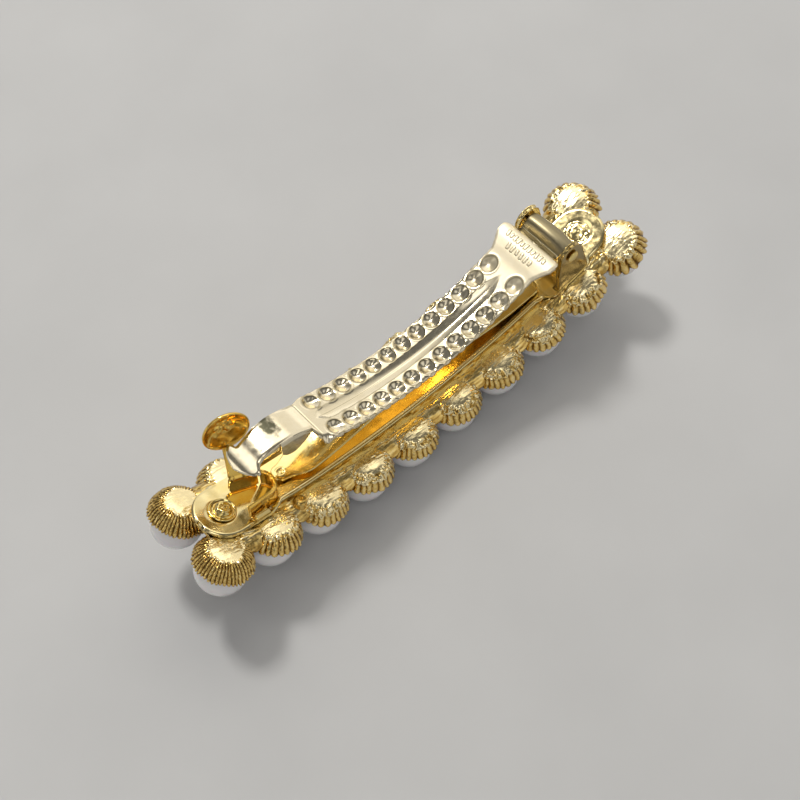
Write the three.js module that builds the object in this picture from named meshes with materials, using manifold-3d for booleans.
// Automatic hair barrette: a gold-plated casting with two rows of cups that hold pearls, and a
// riveted clip with a hinged tongue, a sprung release lever and a leaf spring.
// Millimetres, +Z up, lying on its pearls: +X runs from the catch to the hinge, +Y to the lever side.
import * as THREE from 'three';
import { mergeVertices } from 'three/addons/utils/BufferGeometryUtils.js';
import Module from 'manifold-3d';

const wasm = await Module();
wasm.setup();

// ---------------------------------------------------------------- driving dimensions
const pearl = { radius: 3.9, pitch: 9, perRow: 10, rowGap: 9.8, holeRadius: 0.62, holeTop: 1.2 };
const bend = { radius: 122 };                // arc through the pearl centres
const cup = { rim: 1.5, crown: 4.6, cavity: 4.12, pegRadius: 0.42, pegTip: 1.6, cover: 0.15 };
const cupSide = [[4.5, cup.rim], [4.2, 2.3], [3.5, 3.6], [2.3, 4.35]];      // radius, height
const spine = { bottom: 4.05, top: 4.5, halfWidth: 4.4, halfLength: 41.2, corner: 2 };
const boss = { s: -26.4, y: -4.8, radius: 1.0, top: 5.3 };

const plate = { bottom: 4.7, top: 5.5, halfLength: 39.0, endWidth: 4.2, waistWidth: 3.6 };
const waist = { from: -27.2, to: 24.2, blend: 1.8 };
const rail = { thick: 0.55, top: 6.3, from: -26.5, to: 23.8 };
const rivet = {
  s: 37.2, shank: 1.1, hole: 1.25, head: 1.9, headHeight: 0.9, tail: 1.6, tailHeight: 0.6, gap: 0.15,
};

const pin = { x: 28.3, z: 20.1, radius: 0.6, hole: 0.69, headRadius: 1.0, headThick: 0.4 };
const ear = { inner: 4.1, thick: 0.8, round: 2.2, footFrom: 26.4, footTo: 32.5 };
const tab = { from: -32.8, to: -29.7, inner: 4.05, thick: 0.5, height: 1.7 };

const sheet = 0.8;                           // thickness of the tongue
const bow = { x: 1, topZ: 16.3, radius: 46.3, from: -17.2, to: 20 };
const noseLine = [                           // middle of the sheet: x, z
  [-31.6, 21.3], [-30.4, 21.85], [-28.6, 22.4], [-26.6, 22.65], [-24.6, 22.65], [-22.6, 22.35],
  [-21, 21.6], [-19.6, 20.75], [-18.4, 20.1],
];
const stampedLine = [
  [21.6, 20.75], [23, 21.35], [24.2, 21.5], [25.1, 21.05], [25.9, 20.3], [26.5, 20], [27, 20.25],
];
const dimple = { count: 13, first: -16.4, pitch: 2.92, y: 2.65, radius: 1.3, depth: 0.55, bump: 0.35 };
const groove = { from: -16.5, to: 17, halfWidth: 0.6, depth: 0.3 };
const tongue = { halfWidth: 4.1, shoulder: 5.5, neck: 3.8, noseNear: -1.3 };
const noseTip = [                            // plan outline: x, y
  [-29.1, tongue.noseNear - 0.2], [-29.6, -2.5], [-30.1, -2.4], [-30.65, -1.3], [-31, -0.2], [-31.25, 0.9],
  [-31.2, 2], [-30.9, 3], [-30.4, 3.55], [-29.8, 3.95], [-29.5, 3.9],
];
const noseNotch = [[-29.75, 3.45], [-29.7, 3.05], [-29.2, 2.8], [-28.5, 2.9]];
const knuckle = { radius: 1.16, lugInner: 3.1, lugRound: 1.5 };
const flange = { thick: 0.5 };
const flangeOutline = [                      // seen from the side: x, z
  [-24.8, 22.8], [-24.8, 20.5], [-24, 19.5], [-22.8, 18.9], [-21.5, 19.2], [-20.3, 19.9], [-19.4, 20.3],
  [-19.4, 20.7], [-21, 21.6], [-22.6, 22.4],
];

const leaf = {
  thick: 0.5, halfWidth: 2.7, clear: 0.35, rise: 4.15, from: -26, to: 25.2, steps: 17,
  tipHalfWidth: 1.4, taper: 5,
};

const band = { thick: 0.55, height: 3.2, clear: 0.3 };     // the strip the catch is bent from
const hairpin = { x: -28.9, y: -1.05, radius: 2.05, nearFrom: -32.8, nearY: -3.4, gapDeg: 55 };
const lever = { rootDeg: 65, length: 4.4, turn: 14.5, neckFrom: 2.2, neckTo: 3.4, height: 7.3, lean: 0.4 };
const thumb = { x: -29.35, y: 4.75, z: 23.8, radius: 3.5, dish: 0.95, thick: 0.5, tilt: 7 };

// ---------------------------------------------------------------- helpers
const rad = THREE.MathUtils.degToRad;

// The lowest pearls are half a pitch from the middle, and they touch the floor.
const arcCentreZ = pearl.radius + bend.radius * Math.cos(pearl.pitch / 2 / bend.radius);

// A point at arc length s, and height h above the pearl centres.
function arcPoint(s, h) {
  const angle = s / bend.radius;
  const r = bend.radius - h;
  return new THREE.Vector2(r * Math.sin(angle), arcCentreZ - r * Math.cos(angle));
}

// Height of a curved layer above the floor at x.
function layerZ(x, h) {
  const r = bend.radius - h;
  return arcCentreZ - Math.sqrt(r * r - x * x);
}

function solid(geometry) {
  const plain = geometry.clone();
  plain.deleteAttribute('normal');
  plain.deleteAttribute('uv');
  const merged = mergeVertices(plain, 1e-4);
  const index = merged.index.array;
  const triangles = [];
  for (let i = 0; i < index.length; i += 3) {
    const [a, b, c] = [index[i], index[i + 1], index[i + 2]];
    if (a !== b && b !== c && c !== a) triangles.push(a, b, c);
  }
  return new wasm.Manifold(new wasm.Mesh({
    numProp: 3,
    vertProperties: new Float32Array(merged.attributes.position.array),
    triVerts: new Uint32Array(triangles),
  }));
}

function geometryOf(manifold) {
  const mesh = manifold.getMesh();
  const geometry = new THREE.BufferGeometry();
  geometry.setAttribute('position', new THREE.BufferAttribute(new Float32Array(mesh.vertProperties), 3));
  geometry.setIndex(new THREE.BufferAttribute(new Uint32Array(mesh.triVerts), 1));
  return geometry;
}

const union = (parts) => parts.reduce((sum, part) => sum.add(part));

// An outline in X and Z, given a width along Y.
function sideCut(points, y0, y1) {
  const shape = new THREE.Shape(points.map((p) => new THREE.Vector2(p.x, p.y)));
  const geometry = new THREE.ExtrudeGeometry(shape, { depth: y1 - y0, bevelEnabled: false });
  return geometry.rotateX(Math.PI / 2).translate(0, y1, 0);
}

// An outline in X and Y, given a height along Z.
function planCut(shape, z0, z1) {
  const geometry = new THREE.ExtrudeGeometry(shape, { depth: z1 - z0, bevelEnabled: false, curveSegments: 5 });
  return geometry.translate(0, 0, z0);
}

const points = (pairs) => pairs.map(([x, y]) => new THREE.Vector2(x, y));
const shapeOf = (pairs) => new THREE.Shape(points(pairs));

// A strip of even thickness along a line: returns its closed outline.
function thicken(line, thickness) {
  const left = [];
  const right = [];
  line.forEach((p, i) => {
    const before = line[Math.max(i - 1, 0)];
    const after = line[Math.min(i + 1, line.length - 1)];
    const normal = after.clone().sub(before).normalize();
    const side = new THREE.Vector2(-normal.y, normal.x).multiplyScalar(thickness / 2);
    left.push(p.clone().add(side));
    right.unshift(p.clone().sub(side));
  });
  return left.concat(right);
}

// A layer that follows the bend, between two heights above the pearl centres.
function bentLayer(xFrom, xTo, bottom, top, steps) {
  const along = (h) => Array.from({ length: steps + 1 }, (_, i) => {
    const x = xFrom + ((xTo - xFrom) * i) / steps;
    return new THREE.Vector2(x, layerZ(x, h));
  });
  return along(bottom).concat(along(top).reverse());
}

function cylinderY(radius, y0, y1, x, z, segments) {
  return new THREE.CylinderGeometry(radius, radius, y1 - y0, segments)
    .translate(0, (y0 + y1) / 2, 0).translate(x, 0, z);
}

// Stands a piece that was turned about Y on the bend, at arc length s and across at y.
function standOnBend(geometry, s, y) {
  const centre = arcPoint(s, 0);
  return geometry.rotateX(Math.PI / 2).rotateY(-s / bend.radius).translate(centre.x, y, centre.y);
}

// ---------------------------------------------------------------- pearls and casting
const rowsY = { near: -pearl.rowGap / 2, far: pearl.rowGap / 2 };
const stations = Array.from({ length: pearl.perRow }, (_, i) => (i - (pearl.perRow - 1) / 2) * pearl.pitch);

function makePearl() {
  const ball = solid(new THREE.SphereGeometry(pearl.radius, 14, 9));
  const depth = pearl.radius + 1 - pearl.holeTop;
  const hole = new THREE.CylinderGeometry(pearl.holeRadius, pearl.holeRadius, depth, 6)
    .translate(0, pearl.holeTop + depth / 2, 0);
  return geometryOf(ball.subtract(solid(hole)));
}

function makeCasting() {
  const bell = points([[0, cup.rim], ...cupSide, [0, cup.crown]]);
  const bells = [];
  const cavities = [];
  const pegs = [];
  for (const y of Object.values(rowsY)) {
    for (const s of stations) {
      bells.push(solid(standOnBend(new THREE.LatheGeometry(bell, 16), s, y)));
      cavities.push(solid(standOnBend(new THREE.SphereGeometry(cup.cavity, 14, 9), s, y)));
      const length = cup.crown - cup.cover - cup.pegTip;
      const peg = new THREE.CylinderGeometry(cup.pegRadius, cup.pegRadius, length, 6)
        .translate(0, cup.pegTip + length / 2, 0);
      pegs.push(solid(standOnBend(peg, s, y)));
    }
  }
  const { halfWidth: w, halfLength: l, corner } = spine;
  const outline = shapeOf([
    [-l, -w + corner], [-l + corner, -w], [l - corner, -w], [l, -w + corner],
    [l, w - corner], [l - corner, w], [-l + corner, w], [-l, w - corner],
  ]);
  const strip = solid(sideCut(bentLayer(-l, l, spine.bottom, spine.top, 26), -w, w))
    .intersect(solid(planCut(outline, 0, 30)));
  const root = spine.bottom + 0.2;
  const stub = new THREE.CylinderGeometry(boss.radius * 0.6, boss.radius, boss.top - root, 10)
    .translate(0, (boss.top + root) / 2, 0);
  let body = union([strip, ...bells]).add(solid(standOnBend(stub, boss.s, boss.y)));
  body = cavities.reduce((rest, cavity) => rest.subtract(cavity), body);
  body = union([body, ...pegs]);
  for (const s of [-rivet.s, rivet.s]) body = body.subtract(rivetHole(s));
  return geometryOf(body);
}

function rivetHole(s) {
  const hole = new THREE.CylinderGeometry(rivet.hole, rivet.hole, 6, 16).translate(0, plate.bottom, 0);
  return solid(standOnBend(hole, s, 0));
}

// A rivet with a tail under the casting and a domed head on the plate.
function makeRivet(s) {
  const under = spine.bottom - rivet.gap;
  const over = plate.top + rivet.gap;
  const { head, headHeight: rise, tail, tailHeight } = rivet;
  const profile = points([
    [0, under - tailHeight], [tail, under - tailHeight + 0.1], [tail, under], [rivet.shank, under],
    [rivet.shank, over], [head, over], [head - 0.2, over + rise * 0.4], [head * 0.55, over + rise * 0.83],
    [0, over + rise],
  ]);
  return standOnBend(new THREE.LatheGeometry(profile, 18), s, 0);
}

// ---------------------------------------------------------------- base plate
function plateOutline() {
  const { halfLength: l, endWidth: w, waistWidth: n } = plate;
  const hinge = ear.inner + ear.thick;
  const round = 2.6;
  const half = [
    [-l, 0], [-l + 0.35, w - round], [-l + 1.3, w - 0.9], [-l + round + 0.4, w], [waist.from - waist.blend, w],
    [waist.from, n], [waist.to, n], [waist.to + waist.blend, hinge], [ear.footTo + 0.4, hinge],
    [ear.footTo + 1, w], [l - round - 0.4, w], [l - 1.3, w - 0.9], [l - 0.35, w - round], [l, 0],
  ];
  const mirrored = half.slice(1, -1).map(([x, y]) => [x, -y]).reverse();
  return shapeOf(half.concat(mirrored));
}

function earOutline() {
  const arc = [];
  for (let a = 172; a >= 18; a -= 22) {
    arc.push(new THREE.Vector2(pin.x + ear.round * Math.cos(rad(a)), pin.z + ear.round * Math.sin(rad(a))));
  }
  return [
    new THREE.Vector2(ear.footTo, layerZ(ear.footTo, plate.bottom + 0.3)),
    new THREE.Vector2(ear.footFrom, layerZ(ear.footFrom, plate.bottom + 0.3)),
    ...arc,
  ];
}

function makeBasePlate() {
  const { halfLength: l } = plate;
  const reach = ear.inner + ear.thick;
  let body = solid(sideCut(bentLayer(-l, l, plate.bottom, plate.top, 26), -reach, reach))
    .intersect(solid(planCut(plateOutline(), 0, 30)));
  for (const side of [-1, 1]) {
    const at = (a, b) => [Math.min(side * a, side * b), Math.max(side * a, side * b)];
    body = body.add(solid(sideCut(earOutline(), ...at(ear.inner, reach))));
    const wall = bentLayer(rail.from, rail.to, plate.bottom + 0.3, rail.top, 16);
    body = body.add(solid(sideCut(wall, ...at(plate.waistWidth - rail.thick, plate.waistWidth))));
  }
  const lip = bentLayer(tab.from, tab.to, plate.bottom, plate.top + tab.height, 3);
  body = body.add(solid(sideCut(lip, -tab.inner - tab.thick, -tab.inner)));
  body = body.subtract(solid(cylinderY(pin.hole, -reach - 1, reach + 1, pin.x, pin.z, 16)));
  for (const s of [-rivet.s, rivet.s]) body = body.subtract(rivetHole(s));
  return geometryOf(body);
}

// ---------------------------------------------------------------- tongue
// A line that follows the bow, sunk below the tongue's top face.
function bowLine(from, to, sunk, steps) {
  const r = bow.radius + sunk;
  return Array.from({ length: steps + 1 }, (_, i) => {
    const x = from + ((to - from) * i) / steps;
    return new THREE.Vector2(x, bow.topZ + bow.radius - Math.sqrt(r * r - (x - bow.x) ** 2));
  });
}

// A place on a circle around the hinge pin.
function roundPin(radius, angle) {
  return new THREE.Vector2(pin.x + radius * Math.cos(rad(angle)), pin.z + radius * Math.sin(rad(angle)));
}

// The middle of the sheet from the nose to the knuckle over the hinge pin.
function tongueLine() {
  const line = [...points(noseLine), ...bowLine(bow.from, bow.to, sheet / 2, 16), ...points(stampedLine)];
  for (let a = 145; a >= -25; a -= 34) {
    line.push(roundPin(knuckle.radius, a));
  }
  return line;
}

// A cone standing on the bow with its point down, its rim sunk below the tongue's top face.
function bowCone(x, y, radius, depth, sunk) {
  const angle = Math.asin((x - bow.x) / bow.radius);
  const r = bow.radius + sunk;
  const cone = new THREE.ConeGeometry(radius, depth, 8).translate(0, -depth / 2, 0).rotateX(-Math.PI / 2)
    .translate(0, 0, -depth).rotateY(-angle);
  const rim = new THREE.Vector2(bow.x + r * Math.sin(angle), bow.topZ + bow.radius - r * Math.cos(angle));
  return solid(cone.translate(rim.x, y, rim.y));
}

function tongueOutline() {
  const { halfWidth: w, shoulder: sh, neck: n, noseNear: near } = tongue;
  return shapeOf([
    ...noseTip, ...noseNotch, [-26.4, 3.2], [-24, 3.35], [-20.4, 3.35], [-18.6, w - 0.5], [-17.6, w],
    [20.6, w], [21.6, w + 0.6], [23.2, sh], [24.4, sh], [24.8, sh - 0.5], [24.8, n], [30.4, n],
    [30.4, -n], [24.8, -n], [24.8, -sh + 0.5], [24.4, -sh], [23.2, -sh], [21.6, -w - 0.6],
    [20.6, -w], [-18.2, -w], [-18.8, -w + 0.6], [-19.3, near],
  ]);
}

function makeTongue() {
  const wide = tongue.shoulder + 1;
  let body = solid(sideCut(thicken(tongueLine(), sheet), -wide, wide))
    .intersect(solid(planCut(tongueOutline(), 0, 40)));
  const above = 0.05;                        // how far the cutting cones stand over the face they cut
  const dents = [];
  for (let i = 0; i < dimple.count; i += 1) {
    for (const y of [-dimple.y, dimple.y]) {
      const x = dimple.first + i * dimple.pitch;
      body = body.add(bowCone(x, y, dimple.radius, sheet / 2 + dimple.bump, sheet / 2));
      dents.push(bowCone(x, y, dimple.radius, dimple.depth + above, -above));
    }
  }
  body = body.subtract(union(dents));
  const trough = thicken(bowLine(groove.from, groove.to, 0, 16), 2 * groove.depth);
  body = body.subtract(solid(sideCut(trough, -groove.halfWidth, groove.halfWidth)));
  body = body.add(solid(sideCut(points(flangeOutline), tongue.noseNear - 0.1, tongue.noseNear + flange.thick - 0.1)));
  const lug = [];
  for (let a = 100; a > -245; a -= 23) {
    lug.push(roundPin(knuckle.lugRound, a));
  }
  body = body.add(solid(sideCut(lug, -tongue.neck, -knuckle.lugInner)));
  body = body.add(solid(sideCut(lug, knuckle.lugInner, tongue.neck)));
  return geometryOf(body.subtract(solid(cylinderY(pin.hole, -6, 6, pin.x, pin.z, 16))));
}

function makeHingePin() {
  const reach = ear.inner + ear.thick + 0.12;
  const shaft = solid(cylinderY(pin.radius, -reach - 0.2, reach + 0.2, pin.x, pin.z, 16));
  const head = (y0) => solid(cylinderY(pin.headRadius, y0, y0 + pin.headThick, pin.x, pin.z, 16));
  return geometryOf(union([shaft, head(reach), head(-reach - pin.headThick)]));
}

// ---------------------------------------------------------------- leaf spring
function makeLeafSpring() {
  const lift = (x) => layerZ(x, plate.top) + leaf.clear + leaf.thick / 2;
  const middle = (leaf.from + leaf.to) / 2;
  const line = Array.from({ length: leaf.steps + 1 }, (_, i) => {
    const x = leaf.from + ((leaf.to - leaf.from) * i) / leaf.steps;
    const crown = Math.cos((Math.PI * (x - middle)) / (leaf.to - leaf.from));
    return new THREE.Vector2(x, lift(x) + leaf.rise * crown ** 2);
  });
  const { halfWidth: w, tipHalfWidth: tip } = leaf;
  const outline = shapeOf([
    [leaf.from - 1, -tip], [leaf.from + 1, -tip], [leaf.from + leaf.taper, -w], [leaf.to + 1, -w],
    [leaf.to + 1, w], [leaf.from + leaf.taper, w], [leaf.from + 1, tip], [leaf.from - 1, tip],
  ]);
  const strip = solid(sideCut(thicken(line, leaf.thick), -w, w));
  return geometryOf(strip.intersect(solid(planCut(outline, 5, 25))));
}

// ---------------------------------------------------------------- catch
// A strip standing on edge: a line in plan, cut to the height of the strip above the plate.
function standingStrip(line) {
  const outline = new THREE.Shape(thicken(line, band.thick));
  const from = plate.top + band.clear;
  const wall = bentLayer(-34, -25, from, from + band.height, 6);
  return solid(planCut(outline, 5, 25)).intersect(solid(sideCut(wall, -6, 6)));
}

function onBend(angle) {
  return new THREE.Vector2(
    hairpin.x + hairpin.radius * Math.cos(rad(angle)), hairpin.y + hairpin.radius * Math.sin(rad(angle)),
  );
}

function makeCatchSpring() {
  const line = points([[hairpin.nearFrom, hairpin.nearY], [-30.8, hairpin.nearY + 0.15]]);
  for (let a = -90; a <= hairpin.gapDeg; a += 14.5) line.push(onBend(a));
  return geometryOf(standingStrip(line));
}

// The lever is one flat sheet, drawn from its root, that leans outwards more and more along its length.
function makeReleaseLever() {
  const root = onBend(lever.rootDeg);
  const along = new THREE.Vector2(-Math.cos(rad(lever.turn)), Math.sin(rad(lever.turn)));
  const across = new THREE.Vector2(along.y, -along.x);
  const arm = band.height;
  const outline = shapeOf([
    [0, 0], [1.5, 0], [3, 0], [lever.length - 0.5, 0], [lever.length, 0.5], [lever.length - 0.15, 2.2],
    [lever.neckTo + 0.1, lever.height - 1.2], [lever.neckTo, lever.height], [lever.neckFrom, lever.height],
    [lever.neckFrom, lever.height - 1.2], [1.9, arm + 1], [1.3, arm], [0, arm],
  ]);
  const sheetGeometry = new THREE.ExtrudeGeometry(outline, { depth: band.thick, bevelEnabled: false });
  const position = sheetGeometry.attributes.position;
  for (let i = 0; i < position.count; i += 1) {
    const s = position.getX(i);
    const h = position.getY(i);
    const out = position.getZ(i) - band.thick / 2 + lever.lean * h * THREE.MathUtils.smoothstep(s, 0, 3);
    const x = root.x + along.x * s + across.x * out;
    const y = root.y + along.y * s + across.y * out;
    position.setXYZ(i, x, y, layerZ(root.x + along.x * s, plate.top) + band.clear + h);
  }
  const { radius: r, dish, thick } = thumb;
  const bowl = points([
    [0, -dish - thick], [r * 0.55, -dish * 0.72 - thick], [r * 0.9, -thick * 1.1], [r, 0], [r * 0.93, 0.12],
    [r * 0.82, -dish * 0.22], [r * 0.5, -dish * 0.78], [0, -dish],
  ]);
  const pad = new THREE.LatheGeometry(bowl, 22).rotateX(rad(180 - thumb.tilt)).rotateZ(-rad(lever.turn))
    .translate(thumb.x, thumb.y, thumb.z);
  return geometryOf(solid(sheetGeometry).add(solid(pad)));
}

// ---------------------------------------------------------------- assembly
const gold = new THREE.MeshStandardMaterial({ name: 'gold_plate', color: 0xc9a24a, metalness: 1, roughness: 0.2 });
const paleGold = new THREE.MeshStandardMaterial({ name: 'pale_gold', color: 0xd9c79a, metalness: 1, roughness: 0.2 });
const nacre = new THREE.MeshStandardMaterial({ name: 'pearl', color: 0xf3efe8, metalness: 0, roughness: 0.25 });

const group = new THREE.Group();
group.name = 'barrette';

function addPart(name, geometry, material) {
  const plain = geometry.index ? geometry.toNonIndexed() : geometry;
  plain.computeVertexNormals();
  const mesh = new THREE.Mesh(plain, material);
  mesh.name = name;
  group.add(mesh);
}

addPart('casting', makeCasting(), gold);
for (const [row, y] of Object.entries(rowsY)) {
  stations.forEach((s, i) => {
    addPart(`pearl_${row}_${String(i + 1).padStart(2, '0')}`, standOnBend(makePearl(), s, y), nacre);
  });
}
addPart('base_plate', makeBasePlate(), gold);
addPart('rivet_catch_end', makeRivet(-rivet.s), gold);
addPart('rivet_hinge_end', makeRivet(rivet.s), gold);
addPart('tongue', makeTongue(), paleGold);
addPart('hinge_pin', makeHingePin(), gold);
addPart('tension_spring', makeLeafSpring(), gold);
addPart('catch_spring', makeCatchSpring(), gold);
addPart('release_lever', makeReleaseLever(), gold);

export default group;
